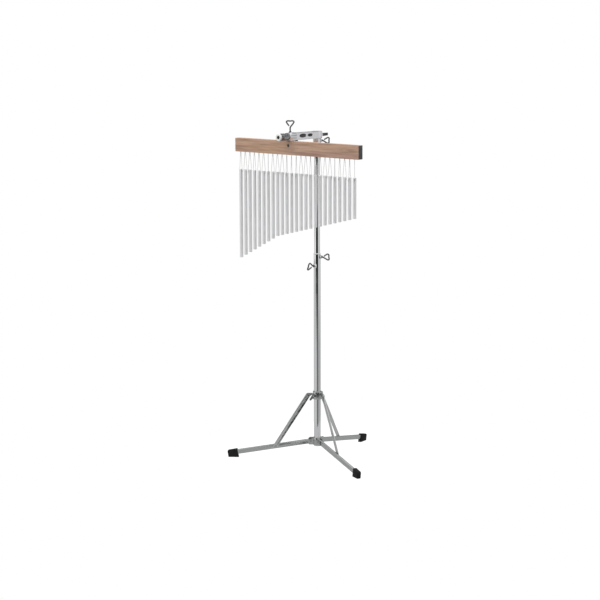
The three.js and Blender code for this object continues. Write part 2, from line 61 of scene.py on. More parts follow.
def at_tube(x, y, z):
    """A place in millimetres from the tube's axis and the floor, in the frame's metres."""
    return Vector((tube_x + x * mm, tube_y + y * mm, z * mm))


def place(tree, kind, inputs=(), **settings):
    """Adds a node. Inputs are given by socket name or number, as a value or as another node's output."""
    made = tree.nodes.new(kind)
    for key, value in settings.items():
        setattr(made, key, value)
    for key, value in dict(inputs).items():
        if isinstance(value, bpy.types.NodeSocket):
            tree.links.new(value, made.inputs[key])
        else:
            made.inputs[key].default_value = value
    return made


def new_material(name):
    """A material, its node tree and its shader."""
    material = bpy.data.materials.new(name)
    material.use_nodes = True
    return material, material.node_tree, material.node_tree.nodes["Principled BSDF"]


view_turn = math.radians(40.12)
view_drop = math.radians(9.51)
view_roll = math.radians(-0.17)
camera_height, camera_away, camera_aside = 1289.1, 4.9952, -0.0478
away = Vector((math.sin(view_turn), -math.cos(view_turn), 0))
aside = Vector((math.cos(view_turn), math.sin(view_turn), 0))
camera = bpy.data.objects.new("camera", bpy.data.cameras.new("camera"))
camera.data.sensor_width = 36
camera.data.lens = 109.2
camera.location = at_tube(0, 0, camera_height) + away * camera_away + aside * camera_aside
facing = (
    Matrix.Rotation(view_turn, 3, "Z")
    @ Matrix.Rotation(math.pi / 2 - view_drop, 3, "X")
    @ Matrix.Rotation(view_roll, 3, "Z")
)
camera.rotation_euler = facing.to_euler()
scene.collection.objects.link(camera)
scene.camera = camera
scene.view_settings.view_transform = "Standard"

floor_mesh = bpy.data.meshes.new("floor")
floor_form = bmesh.new()
bmesh.ops.create_circle(floor_form, cap_ends=True, segments=96, radius=0.42)
floor_form.to_mesh(floor_mesh)
floor = bpy.data.objects.new("floor", floor_mesh)
scene.collection.objects.link(floor)
floor_paint, paint_tree, floor_shader = new_material("floor_paint")
floor_shader.inputs["Base Color"].default_value = (0.10, 0.10, 0.10, 1)
floor_shader.inputs["Emission Color"].default_value = (1, 1, 1, 1)
floor_shader.inputs["Roughness"].default_value = 0.9
floor_shader.inputs["Specular IOR Level"].default_value = 0.1
# the floor is white to the eye, and dimmer in the chrome that stands on it
floor_glow, floor_in_chrome = 1.0, 0.42
eye = place(paint_tree, "ShaderNodeLightPath").outputs["Is Camera Ray"]
white = place(paint_tree, "ShaderNodeMapRange", {0: eye, 3: floor_in_chrome, 4: floor_glow})
paint_tree.links.new(white.outputs[0], floor_shader.inputs["Emission Strength"])
floor_mesh.materials.append(floor_paint)

lamp = bpy.data.objects.new("overhead", bpy.data.lights.new("overhead", "AREA"))
lamp.data.size = 3
lamp.data.energy = 62
lamp.location = at_tube(-500, -600, 3200)
lamp.visible_glossy = False
scene.collection.objects.link(lamp)

world = bpy.data.worlds.new("studio")
scene.world = world
world.use_nodes = True
sky = world.node_tree
sky.nodes.clear()
heading = place(sky, "ShaderNodeTexCoord").outputs["Generated"]
toward = place(sky, "ShaderNodeVectorMath", {0: heading, 1: away}, operation="DOT_PRODUCT")
sideways = place(sky, "ShaderNodeVectorMath", {0: heading, 1: aside}, operation="DOT_PRODUCT")
turn = place(sky, "ShaderNodeMath", {0: sideways.outputs[1], 1: toward.outputs[1]}, operation="ARCTAN2")
share = place(sky, "ShaderNodeMapRange", {0: turn.outputs[0], 1: -math.pi, 2: math.pi})


def panorama(stops):
    """Brightness all round: degrees from the camera's side, positive to its right, and a level."""
    panels = place(sky, "ShaderNodeValToRGB", {0: share.outputs[0]})
    ramp = panels.color_ramp
    while len(ramp.elements) < len(stops):
        ramp.elements.new(0.5)
    for stop, (degrees, level) in zip(ramp.elements, stops):
        stop.position = degrees / 360 + 0.5
        stop.color = (level, level, level, 1)
    return panels.outputs[0]


# five bands of sky, from steeply down to the zenith, each blended into the next over a range of heights
beneath = [(-180, 0.4), (-90, 0.6), (-20, 0.6), (-12, 0.16), (30, 0.16), (38, 0.42), (180, 0.42)]
level = [(-180, 0.5), (-110, 0.6), (-75, 1), (-56, 1), (-49, 0.02), (32, 0.02), (42, 0.7), (180, 0.5)]
above = [(-180, 0.22), (-95, 0.26), (-65, 0.95), (65, 0.85), (95, 0.3), (180, 0.22)]
split = place(sky, "ShaderNodeSeparateXYZ", {0: heading})
band = panorama(beneath)
overhead = [(-180, 1), (180, 1)]
zenith = [(-180, 0.5), (180, 0.5)]
for stops, low, high in (
    (level, -0.19, -0.155),
    (above, 0.03, 0.09),
    (overhead, 0.35, 0.7),
    (zenith, 0.8, 0.93),
):
    climb = place(sky, "ShaderNodeMapRange", {0: split.outputs["Z"], 1: low, 2: high})
    blend = {0: climb.outputs[0], 6: band, 7: panorama(stops)}
    band = place(sky, "ShaderNodeMix", blend, data_type="RGBA").outputs[2]
straight = place(sky, "ShaderNodeLightPath").outputs["Is Camera Ray"]
seen = place(sky, "ShaderNodeMix", {0: straight, 6: band, 7: (1, 1, 1, 1)}, data_type="RGBA")
glow = place(sky, "ShaderNodeBackground", {0: seen.outputs[2], 1: 1.0})
place(sky, "ShaderNodeOutputWorld", {0: glow.outputs[0]})

# ---- chime rods ---------------------------------------------------------------------------------
# Twenty-five solid aluminium rods, cut to graded lengths, chamfered and satin polished along their
# length. Each has one cross hole near its top, which its cord runs through.
chime_names = [f"chime_{number:02d}" for number in range(1, 26)]
bar_low, bar_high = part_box("wooden_bar")
cord_drop = 49 * mm
rod_radius = 4.75 * mm
rod_top = bar_low.z - cord_drop
hole_radius = 1.35 * mm
hole_below_top = 7 * mm


def hangs_at(name):
    """Where a chime hangs, in plan."""
    low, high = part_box(name)
    return (low.x + high.x) / 2, (low.y + high.y) / 2


def add_thing(name, mesh):
    thing = bpy.data.objects.new(name, mesh)
    scene.collection.objects.link(thing)
    return thing


def plain(thing):
    """Turns an object with its modifiers into a plain mesh of the same name."""
    shown = thing.evaluated_get(bpy.context.evaluated_depsgraph_get())
    mesh = bpy.data.meshes.new_from_object(shown)
    thing.modifiers.clear()
    thing.data = mesh
    mesh.name = thing.name
    return thing


def round_edges(thing, radius, steps=3):
    """Rounds the edges that turn by more than 35 degrees."""
    bevel = thing.modifiers.new("edges", "BEVEL")
    bevel.width = radius
    bevel.segments = steps
    bevel.limit_method = "ANGLE"
    bevel.angle_limit = math.radians(35)
    bevel.harden_normals = True
    bevel.miter_outer = "MITER_ARC"


def geometry_tree(name, sizes):
    """A geometry tree with a mesh, named sizes and a material going in, and its input node."""
    tree = bpy.data.node_groups.new(name, "GeometryNodeTree")
    sockets = [("Geometry", "Geometry"), *[(size, "Float") for size in sizes], ("Material", "Material")]
    for label, kind in sockets:
        tree.interface.new_socket(label, in_out="INPUT", socket_type="NodeSocket" + kind)
    tree.interface.new_socket("Geometry", in_out="OUTPUT", socket_type="NodeSocketGeometry")
    return tree, place(tree, "NodeGroupInput").outputs


def end_tree(tree, given, result):
    """Closes a geometry tree: real geometry, smooth faces, and the material."""
    real = place(tree, "GeometryNodeRealizeInstances", {0: result})
    smooth = place(tree, "GeometryNodeSetShadeSmooth", {0: real.outputs[0]})
    coat = place(tree, "GeometryNodeSetMaterial", {0: smooth.outputs[0], "Material": given["Material"]})
    place(tree, "NodeGroupOutput", {0: coat.outputs[0]})


def grow(name, tree, sizes, material, mesh=None, edge=0.0):
    """Runs a geometry tree with these sizes, and keeps what it makes as a plain mesh."""
    thing = add_thing(name, mesh or bpy.data.meshes.new(name))
    nodes = thing.modifiers.new("nodes", "NODES")
    nodes.node_group = tree
    for item in tree.interface.items_tree:
        if item.in_out == "INPUT" and item.name in sizes:
            nodes[item.identifier] = sizes[item.name]
        if item.in_out == "INPUT" and item.name == "Material":
            nodes[item.identifier] = material
    if edge:
        round_edges(thing, edge)
    return plain(thing)


def shader_group(name, inputs, outputs):
    """A shader group with named sockets, and what it takes in and puts out."""
    tree = bpy.data.node_groups.new(name, "ShaderNodeTree")
    for label, kind in inputs.items():
        tree.interface.new_socket(label, in_out="INPUT", socket_type="NodeSocket" + kind)
    for label in outputs:
        tree.interface.new_socket(label, in_out="OUTPUT", socket_type="NodeSocketFloat")
    return tree, place(tree, "NodeGroupInput").outputs, place(tree, "NodeGroupOutput").inputs


# Fine lines drawn along Z, with soft hand marks over them that change the gloss.
drawn_lines, given, out = shader_group(
    "drawn_lines",
    {"Vector": "Vector", "Stretch": "Vector", "Marks": "Float", "Gloss": "Float", "Matt": "Float"},
    ["Lines", "Marks", "Roughness"],
)
stretched = place(
    drawn_lines, "ShaderNodeVectorMath", {0: given[0], 1: given["Stretch"]}, operation="MULTIPLY"
)
lines = place(drawn_lines, "ShaderNodeTexNoise", {"Vector": stretched.outputs[0], "Scale": 1, "Detail": 3})
marks = place(
    drawn_lines,
    "ShaderNodeTexNoise",
    {"Vector": given[0], "Scale": given["Marks"], "Detail": 4, "Roughness": 0.65, "Distortion": 0.6},
)
gloss = place(
    drawn_lines,
    "ShaderNodeMapRange",
    {0: marks.outputs[0], 1: 0.35, 2: 0.68, 3: given["Gloss"], 4: given["Matt"]},
)
drawn_lines.links.new(lines.outputs[0], out["Lines"])
drawn_lines.links.new(marks.outputs[0], out["Marks"])
drawn_lines.links.new(gloss.outputs[0], out["Roughness"])


def metal(name, dark, light, gloss, matt, along=(0, 0, 1), stretch=(2600, 2600, 16), marks=60, depth=0.006):
    """A metal: its lines run along a direction, and its tone and gloss change a little over it."""
    material, tree, shader = new_material(name)
    spin = Vector(along).rotation_difference(Vector((0, 0, 1))).to_euler()
    where = place(tree, "ShaderNodeTexCoord").outputs["Object"]
    turned = place(tree, "ShaderNodeMapping", {"Vector": where, "Rotation": spin})
    group = place(
        tree,
        "ShaderNodeGroup",
        {"Vector": turned.outputs[0], "Stretch": stretch, "Marks": marks, "Gloss": gloss, "Matt": matt},
        node_tree=drawn_lines,
    )
    tone = place(
        tree, "ShaderNodeMath", {0: group.outputs["Lines"], 1: group.outputs["Marks"]}, operation="ADD"
    )
    half = place(tree, "ShaderNodeMapRange", {0: tone.outputs[0], 1: 0.7, 2: 1.3})
    colour = place(
        tree, "ShaderNodeMix", {0: half.outputs[0], 6: (*dark, 1), 7: (*light, 1)}, data_type="RGBA"
    )
    relief = place(
        tree,
        "ShaderNodeBump",
        {"Height": group.outputs["Lines"], "Strength": 0.6, "Distance": depth * mm},
    )
    tree.links.new(colour.outputs[2], shader.inputs["Base Color"])
    tree.links.new(group.outputs["Roughness"], shader.inputs["Roughness"])
    tree.links.new(relief.outputs[0], shader.inputs["Normal"])
    shader.inputs["Metallic"].default_value = 1
    return material


rod_metal = metal("satin_rod", (0.90, 0.90, 0.91), (0.96, 0.96, 0.97), 0.42, 0.52, marks=25, depth=0.003)
rod_metal.node_tree.nodes["Principled BSDF"].inputs["Metallic"].default_value = 0.35

rod_tree, given = geometry_tree("chime_rod", ["Length", "Radius", "Hole Radius", "Hole Below Top"])
rod_body = place(
    rod_tree,
    "GeometryNodeMeshCylinder",
    {"Vertices": 40, "Radius": given["Radius"], "Depth": given["Length"]},
)
half_length = place(rod_tree, "ShaderNodeMath", {0: given["Length"], 1: -0.5}, operation="MULTIPLY")
down = place(rod_tree, "ShaderNodeCombineXYZ", {2: half_length.outputs[0]})
hung = place(rod_tree, "GeometryNodeTransform", {0: rod_body.outputs[0], "Translation": down.outputs[0]})
drill = place(
    rod_tree,
    "GeometryNodeMeshCylinder",
    {"Vertices": 20, "Radius": given["Hole Radius"], "Depth": 0.02},
)
hole_level = place(rod_tree, "ShaderNodeMath", {0: given["Hole Below Top"], 1: -1}, operation="MULTIPLY")
hole_place = place(rod_tree, "ShaderNodeCombineXYZ", {2: hole_level.outputs[0]})
crossed = place(
    rod_tree,
    "GeometryNodeTransform",
    {0: drill.outputs[0], "Translation": hole_place.outputs[0], "Rotation": (0, math.pi / 2, 0)},
)
drilled = place(
    rod_tree,
    "GeometryNodeMeshBoolean",
    {"Mesh 1": hung.outputs[0], "Mesh 2": crossed.outputs[0]},
    operation="DIFFERENCE",
    solver="EXACT",
)
end_tree(rod_tree, given, drilled.outputs[0])

# the rods hang turned by different amounts, so their cords open to different sides
dice = random.Random(11)
hang_turn = {name: math.radians(dice.uniform(-85, 85)) for name in chime_names}
for name in chime_names:
    sizes = {
        "Length": rod_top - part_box(name)[0].z,
        "Radius": rod_radius,
        "Hole Radius": hole_radius,
        "Hole Below Top": hole_below_top,
    }
    rod = grow(name + "_rod", rod_tree, sizes, rod_metal, edge=0.55 * mm)
    where = Matrix.Translation((*hangs_at(name), rod_top))
    rod.data.transform(where @ Matrix.Rotation(hang_turn[name], 4, "Z"))
    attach(rod, name)
    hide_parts(name)

# ---- cords --------------------------------------------------------------------------------------
# Each rod hangs on a loop of white three-strand twisted nylon cord, 1.3 mm thick. Both its ends go up
# into the hole in the bar, to the plug that holds them, and it runs through the rod's cross hole.
strand_radius = 0.33 * mm
strand_offset = 0.33 * mm
cord_twist = 2 * math.pi / (4.6 * mm)
cord_depth = 1.6 * mm  # how far each end reaches into the bar


def line_mesh(name, points):
    """A mesh of one open line of edges through the points."""
    mesh = bpy.data.meshes.new(name)
    mesh.from_pydata(points, [(i, i + 1) for i in range(len(points) - 1)], [])
    return mesh


def sweep_tree(name, offsets, sides):
    """Sweeps round wires along a smooth line through the points of a mesh line."""
    tree, given = geometry_tree(name, ["Radius", "Offset", "Twist", "Step"])
    line = place(tree, "GeometryNodeMeshToCurve", {0: given["Geometry"]})
    smooth = place(tree, "GeometryNodeCurveSplineType", {0: line.outputs[0]}, spline_type="CATMULL_ROM")
    fine = place(tree, "GeometryNodeSetSplineResolution", {0: smooth.outputs[0], "Resolution": 16})
    even = place(
        tree, "GeometryNodeResampleCurve", {0: fine.outputs[0], "Length": given["Step"]}, mode="LENGTH"
    )
    run = place(tree, "GeometryNodeSplineParameter")
    tilt = place(tree, "ShaderNodeMath", {0: run.outputs["Length"], 1: given["Twist"]}, operation="MULTIPLY")
    twisted = place(tree, "GeometryNodeSetCurveTilt", {0: even.outputs[0], "Tilt": tilt.outputs[0]})
    section = place(
        tree, "GeometryNodeCurvePrimitiveCircle", {"Resolution": sides, "Radius": given["Radius"]}
    )
    joined = place(tree, "GeometryNodeJoinGeometry")
    for x, y in offsets:
        shift = place(
            tree, "ShaderNodeVectorMath", {0: (x, y, 0), "Scale": given["Offset"]}, operation="SCALE"
        )
        moved = place(
            tree, "GeometryNodeTransform", {0: section.outputs[0], "Translation": shift.outputs[0]}
        )
        wire = place(
            tree,
            "GeometryNodeCurveToMesh",
            {0: twisted.outputs[0], 1: moved.outputs[0], "Fill Caps": True},
        )
        tree.links.new(wire.outputs[0], joined.inputs[0])
    end_tree(tree, given, joined.outputs[0])
    return tree


thirds = [(math.cos(angle), math.sin(angle)) for angle in (0, 2 * math.pi / 3, 4 * math.pi / 3)]
cord_tree = sweep_tree("twisted_cord", thirds, 6)

# Fine random grain with a slow change of tone, for cords, rubber, plastic, nylon and castings.
fine_grain, given, out = shader_group(
    "fine_grain", {"Vector": "Vector", "Grain": "Float", "Patches": "Float"}, ["Grain", "Patches"]
)
grains = place(fine_grain, "ShaderNodeTexNoise", {"Vector": given[0], "Scale": given["Grain"], "Detail": 2})
patches = place(
    fine_grain, "ShaderNodeTexNoise", {"Vector": given[0], "Scale": given["Patches"], "Detail": 3}
)
fine_grain.links.new(grains.outputs[0], out["Grain"])
fine_grain.links.new(patches.outputs[0], out["Patches"])


def moulded(name, dark, light, gloss, matt, grain=2200, patches=45, depth=0.02, metallic=0.0):
    """A moulded, cast or spun surface: fine grain in relief, and patches of another tone and gloss."""
    material, tree, shader = new_material(name)
    where = place(tree, "ShaderNodeTexCoord").outputs["Object"]
    group = place(
        tree,
        "ShaderNodeGroup",
        {"Vector": where, "Grain": grain, "Patches": patches},
        node_tree=fine_grain,
    )
    wide = place(tree, "ShaderNodeMapRange", {0: group.outputs["Patches"], 1: 0.35, 2: 0.65})
    colour = place(
        tree, "ShaderNodeMix", {0: wide.outputs[0], 6: (*dark, 1), 7: (*light, 1)}, data_type="RGBA"
    )
    sheen = place(
        tree, "ShaderNodeMapRange", {0: group.outputs["Patches"], 1: 0.3, 2: 0.7, 3: gloss, 4: matt}
    )
    relief = place(
        tree,
        "ShaderNodeBump",
        {"Height": group.outputs["Grain"], "Strength": 0.7, "Distance": depth * mm},
    )
    tree.links.new(colour.outputs[2], shader.inputs["Base Color"])
    tree.links.new(sheen.outputs[0], shader.inputs["Roughness"])
    tree.links.new(relief.outputs[0], shader.inputs["Normal"])
    shader.inputs["Metallic"].default_value = metallic
    return material


cord_nylon = moulded("cord_nylon", (0.86, 0.86, 0.85), (0.95, 0.95, 0.94), 0.5, 0.7, 4000, 300, 0.03)

beside = rod_radius + 0.75 * mm
strand_gap = 0.55 * mm
hole = -cord_drop - hole_below_top
for name in chime_names:
    middle = Vector((*hangs_at(name), bar_low.z))
    half = [
        (strand_gap, cord_depth),
        (strand_gap, 0.4 * mm),
        (strand_gap + 0.15 * mm, -1 * mm),
        (1.5 * mm, -8 * mm),
        (beside - 0.3 * mm, -cord_drop + 1 * mm),
        (beside, -cord_drop - 3 * mm),
        (beside - 0.1 * mm, hole + 1.2 * mm),
        (beside - 0.9 * mm, hole + 0.1 * mm),
        (rod_radius - 1.4 * mm, hole - 0.1 * mm),
    ]
    route = [(x, z) for x, z in half] + [(0, hole - 0.15 * mm)] + [(-x, z) for x, z in reversed(half)]
    swing = Matrix.Rotation(hang_turn[name], 3, "Z")
    points = [middle + swing @ Vector((x, 0, z)) for x, z in route]
    sizes = {"Radius": strand_radius, "Offset": strand_offset, "Twist": cord_twist, "Step": 0.6 * mm}
    cord = grow(name + "_cord", cord_tree, sizes, cord_nylon, line_mesh(name + "_cord", points))
    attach(cord, name)

# ---- wooden bar ---------------------------------------------------------------------------------
# One length of pale hardwood, planed, its edges eased and oiled, with both ends stained black. It is
# bored from below for the cords, from the front for a cross dowel and from above for the clamp screw.
bar_centre = (bar_low + bar_high) / 2
bar_size = bar_high - bar_low
dowel_low, dowel_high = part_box("cross_dowel")
dowel_centre = (dowel_low + dowel_high) / 2
dowel_radius = (dowel_high.x - dowel_low.x) / 2
cord_bore = 2.1 * mm
screw_bore = 2.8 * mm


def cylinder(form, start, finish, radius, sides=32):
    """Adds a closed cylinder between two points."""
    span = finish - start
    turn = Vector((0, 0, 1)).rotation_difference(span.normalized()).to_matrix().to_4x4()
    where = Matrix.Translation((start + finish) / 2) @ turn
    bmesh.ops.create_cone(
        form, cap_ends=True, segments=sides, radius1=radius, radius2=radius, depth=span.length, matrix=where
    )


def block(form, centre, size):
    """Adds a box."""
    where = Matrix.Translation(centre) @ Matrix.Diagonal((*size, 1))
    bmesh.ops.create_cube(form, size=1, matrix=where)


def shaped(name, form, material, tools=None, edge=0.0, steps=3):
    """Makes an object of a form, cuts the tools out of it, rounds its edges and makes it plain."""
    mesh = bpy.data.meshes.new(name)
    bmesh.ops.recalc_face_normals(form, faces=form.faces)
    form.to_mesh(mesh)
    mesh.shade_smooth()
    mesh.materials.append(material)
    thing = add_thing(name, mesh)
    cutter = None
    if tools:
        bmesh.ops.recalc_face_normals(tools, faces=tools.faces)
        cutter_mesh = bpy.data.meshes.new(name + "_tools")
        tools.to_mesh(cutter_mesh)
        cutter = add_thing(name + "_tools", cutter_mesh)
        cut = thing.modifiers.new("cut", "BOOLEAN")
        cut.object = cutter
        cut.solver = "EXACT"
        cut.use_self = True
    if edge:
        round_edges(thing, edge, steps)
    plain(thing)
    if cutter:
        bpy.data.objects.remove(cutter)
    if not edge:
        thing.data.set_sharp_from_angle(angle=math.radians(35))
    return thing


# Wood grain along X: long streaks, slow bands of tone, and short dark pores.
wood_grain, given, out = shader_group(
    "wood_grain", {"Vector": "Vector"}, ["Streaks", "Bands", "Pores"]
)
for label, stretch, scale, detail, warp in [
    ("Streaks", (1, 18, 18), 9, 6, 0.8),
    ("Bands", (1, 5, 5), 5, 2, 1.2),
    ("Pores", (1, 42, 42), 26, 2, 0.0),
]:
    long = place(wood_grain, "ShaderNodeVectorMath", {0: given[0], 1: stretch}, operation="MULTIPLY")
    layer = place(
        wood_grain,
        "ShaderNodeTexNoise",
        {"Vector": long.outputs[0], "Scale": scale, "Detail": detail, "Distortion": warp},
    )
    wood_grain.links.new(layer.outputs[0], out[label])


def ramp_node(tree, value, stops):
    """A colour ramp with stops of a position and a colour."""
    made = place(tree, "ShaderNodeValToRGB", {0: value})
    while len(made.color_ramp.elements) < len(stops):
        made.color_ramp.elements.new(0.5)
    for element, (position, colour) in zip(made.color_ramp.elements, stops):
        element.position = position
        element.color = (*colour, 1)
    return made.outputs[0]


def mixed(tree, factor, first, second, kind="MIX"):
    """Two colours mixed by a factor."""
    return place(
        tree, "ShaderNodeMix", {0: factor, 6: first, 7: second}, data_type="RGBA", blend_type=kind
    ).outputs[2]


oiled_wood, tree, shader = new_material("oiled_wood")
where = place(tree, "ShaderNodeTexCoord").outputs["Object"]
grain = place(tree, "ShaderNodeGroup", {0: where}, node_tree=wood_grain)
streaks = ramp_node(
    tree,
    grain.outputs["Streaks"],
    [
        (0.28, (0.33, 0.20, 0.14)),
        (0.42, (0.47, 0.30, 0.21)),
        (0.56, (0.56, 0.36, 0.26)),
        (0.72, (0.62, 0.42, 0.29)),
    ],
)
bands = ramp_node(
    tree, grain.outputs["Bands"], [(0.35, (0.90, 0.86, 0.93)), (0.5, (1, 1, 1)), (0.65, (1.0, 0.97, 0.88))]
)
toned = mixed(tree, 1.0, streaks, bands, "MULTIPLY")
pores = place(tree, "ShaderNodeMapRange", {0: grain.outputs["Pores"], 1: 0.30, 2: 0.40, 3: 0.55, 4: 0.0})
pored = mixed(tree, pores.outputs[0], toned, (0.20, 0.12, 0.08, 1))
tree.links.new(pored, shader.inputs["Base Color"])
matt = place(tree, "ShaderNodeMapRange", {0: grain.outputs["Streaks"], 1: 0.3, 2: 0.7, 3: 0.62, 4: 0.48})
tree.links.new(matt.outputs[0], shader.inputs["Roughness"])
relief = place(
    tree, "ShaderNodeBump", {"Height": grain.outputs["Streaks"], "Strength": 0.5, "Distance": 0.08 * mm}
)
tree.links.new(relief.outputs[0], shader.inputs["Normal"])

stained_end = moulded("stained_end", (0.055, 0.055, 0.058), (0.10, 0.10, 0.105), 0.5, 0.75, 1500, 160, 0.08)

bar_form = bmesh.new()
block(bar_form, bar_centre, bar_size)
end_edges = [e for e in bar_form.edges if abs(e.verts[0].co.x - e.verts[1].co.x) < 1 * mm]
bmesh.ops.bevel(bar_form, geom=end_edges, offset=2.3 * mm, segments=5, profile=0.5, affect="EDGES")
bar_tools = bmesh.new()
for name in chime_names:
    x, y = hangs_at(name)
    cylinder(bar_tools, Vector((x, y, bar_low.z - 1 * mm)), Vector((x, y, bar_low.z + 7 * mm)), cord_bore, 20)
cylinder(
    bar_tools,
    Vector((dowel_centre.x, bar_low.y - 1 * mm, dowel_centre.z)),
    Vector((dowel_centre.x, dowel_high.y + 0.8 * mm, dowel_centre.z)),
    dowel_radius + 0.3 * mm,
)
cylinder(
    bar_tools,
    Vector((dowel_centre.x, bar_centre.y, dowel_centre.z - 9 * mm)),
    Vector((dowel_centre.x, bar_centre.y, bar_high.z + 1 * mm)),
    screw_bore,
)
bar = shaped("bar_body", bar_form, oiled_wood, bar_tools, edge=0.9 * mm, steps=4)
bar.data.materials.append(stained_end)
for face in bar.data.polygons:
    if abs(face.center.x - bar_centre.x) > bar_size.x / 2 - 1.2 * mm:
        face.material_index = 1
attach(bar, "bar")
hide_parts("wooden_bar")

# the plugs fill the upper part of the cord holes
plug_form = bmesh.new()
for name in chime_names:
    bmesh.ops.create_cone(
        plug_form,
        cap_ends=True,
        segments=20,
        radius1=1.75 * mm,
        radius2=1.98 * mm,
        depth=4.2 * mm,
        matrix=Matrix.Translation(Vector((*hangs_at(name), bar_low.z + 4.4 * mm))),
    )
plugs = shaped("cord_plugs", plug_form, cord_nylon, edge=0.2 * mm)
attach(plugs, "bar")

# ---- cross dowel --------------------------------------------------------------------------------
# A dark steel cylinder set into the front of the bar, with a tapped cross hole for the clamp screw
# and a screwdriver slot in its face.
dark_nickel = metal("dark_nickel", (0.05, 0.05, 0.055), (0.12, 0.12, 0.125), 0.3, 0.45)
dowel_form = bmesh.new()
cylinder(
    dowel_form,
    Vector((dowel_centre.x, dowel_low.y, dowel_centre.z)),
    Vector((dowel_centre.x, dowel_high.y, dowel_centre.z)),
    dowel_radius,
    40,
)
dowel_tools = bmesh.new()
cylinder(
    dowel_tools,
    Vector((dowel_centre.x, bar_centre.y, dowel_centre.z - 8 * mm)),
    Vector((dowel_centre.x, bar_centre.y, dowel_centre.z + 8 * mm)),
    screw_bore,
)
block(
    dowel_tools,
    Vector((dowel_centre.x, dowel_low.y, dowel_centre.z)),
    Vector((9 * mm, 2 * mm, 1.1 * mm)),
)
dowel = shaped("cross_dowel_body", dowel_form, dark_nickel, dowel_tools, edge=0.25 * mm)
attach(dowel, "bar")
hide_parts("cross_dowel")

# ---- holder arm ---------------------------------------------------------------------------------
# A chromed casting: a socket and sleeve over the tube's end, a beam with pockets in its sides, a
# barrel above the bar, a bored spigot in front, and a split lug behind. Its holes are drilled.
cast_chrome = moulded("cast_chrome", (0.88, 0.88, 0.91), (0.96, 0.96, 0.98), 0.18, 0.34, 900, 50, 0.03, 1.0)
# a dark metal that paints the shade in the arm's pockets and on its split lug
pocket_shade_casting = moulded("pocket_shade_casting", (0.07, 0.07, 0.075), (0.16, 0.16, 0.165), 0.4, 0.6, 900, 120, 0.05, 1.0)
bar_y = (bar_centre.y - tube_y) / mm
barrel_z = 913.6
arm_bottom, arm_top, arm_width = 902.6, 921.5, 17
arm_pockets = [(-71, 14, 5.2), (-42, 10.5, 4.2)]  # place along the arm, half length, half height
pocket_z = 913.9
boss_turn, boss_z = 41, 896
tube_socket = 8.25 * mm
spigot_bore, spigot_radius = 4.3, 6.2
lug_thickness = 3


def bridge(form, near_points, far_points):
    """Adds a closed form between two outlines with as many points each."""
    near = [form.verts.new(point) for point in near_points]
    far = [form.verts.new(point) for point in far_points]
    form.faces.new(near[::-1])
    form.faces.new(far)
    for i in range(len(near)):
        j = (i + 1) % len(near)
        form.faces.new((near[i], near[j], far[j], far[i]))


def ellipsoid(form, centre, radii):
    """Adds an ellipsoid."""
    where = Matrix.Translation(centre) @ Matrix.Diagonal((*radii, 1))
    bmesh.ops.create_uvsphere(form, u_segments=32, v_segments=20, radius=1, matrix=where)


def around(azimuth, reach, z):
    """A place at a compass direction and distance from the tube's axis, in millimetres."""
    return at_tube(reach * math.cos(math.radians(azimuth)), reach * math.sin(math.radians(azimuth)), z)


def beam_half(y):
    """Half the beam's width: even over the bar, then wider towards the socket."""
    return arm_width / 2 - 0.4 + max(0, y + 97) * 5.1 / 97


arm_form = bmesh.new()
head = [
    (-121, arm_bottom - 0.6),
    (bar_y + 11, arm_bottom - 0.6),
    (bar_y + 16, arm_bottom),
    (bar_y + 16, arm_top + 1.6),
    (bar_y, arm_top + 2),
    (-121, arm_top - 1),
]
tail = [(-97, arm_bottom), (0, arm_bottom), (0, arm_top - 0.5), (-97, arm_top + 1.6)]
for outline in (head, tail):
    edges = [[at_tube(side * beam_half(y), y, z) for y, z in outline] for side in (-1, 1)]
    bridge(arm_form, *edges)
cylinder(arm_form, at_tube(0, -124, barrel_z), at_tube(0, -97, barrel_z), 10.8 * mm)
cylinder(arm_form, at_tube(0, bar_y, barrel_z), at_tube(0, bar_y, arm_top + 3.4), 6 * mm)
cylinder(arm_form, at_tube(0, 0, arm_bottom), at_tube(0, 0, arm_top), 14.5 * mm, 48)
cylinder(arm_form, at_tube(0, 0, 889), at_tube(0, 0, arm_bottom + 2), 11 * mm, 48)
cylinder(arm_form, around(boss_turn, 6, boss_z), around(boss_turn, 12.6, boss_z), 4.6 * mm)
lug = [(-8, 8), (8, 8), (7, 24), (2, 46), (-2, 46), (-7, 24)]
for bottom in (907.2, 911.8):
    edges = [[at_tube(x, y, z) for x, y in lug] for z in (bottom, bottom + lug_thickness)]
    bridge(arm_form, *edges)
pockets = bmesh.new()
for side in (-1, 1):
    for y, long, tall in arm_pockets:
        where = at_tube(side * (beam_half(y) + 0.4), y, pocket_z)
        ellipsoid(pockets, where, (4.4 * mm, long * mm, tall * mm))
arm_mesh = bpy.data.meshes.new("holder_arm_body")
bmesh.ops.recalc_face_normals(arm_form, faces=arm_form.faces)
arm_form.to_mesh(arm_mesh)
arm_mesh.materials.append(cast_chrome)
arm = add_thing("holder_arm_body", arm_mesh)
skin = arm.modifiers.new("skin", "REMESH")
skin.mode = "VOXEL"
skin.voxel_size = 0.7 * mm
skin.use_smooth_shade = True
drill_form = bmesh.new()
cylinder(drill_form, at_tube(0, 0, 888), at_tube(0, 0, 916.8), tube_socket, 64)
cylinder(drill_form, at_tube(0, bar_y, 896), at_tube(0, bar_y, 928), screw_bore)
cylinder(drill_form, around(boss_turn, 5, boss_z), around(boss_turn, 14, boss_z), screw_bore)
arm_cutters = []
for label, form in (("pockets", pockets), ("drill", drill_form)):
    bmesh.ops.recalc_face_normals(form, faces=form.faces)
    cutter_mesh = bpy.data.meshes.new(label)
    form.to_mesh(cutter_mesh)
    cutter = add_thing(label, cutter_mesh)
    arm_cutters.append(cutter)
    cut = arm.modifiers.new(label, "BOOLEAN")
    cut.object = cutter
    cut.solver = "EXACT"
    if label == "pockets":
        flow = arm.modifiers.new("flow", "SMOOTH")
        flow.factor = 0.5
        flow.iterations = 5
plain(arm)
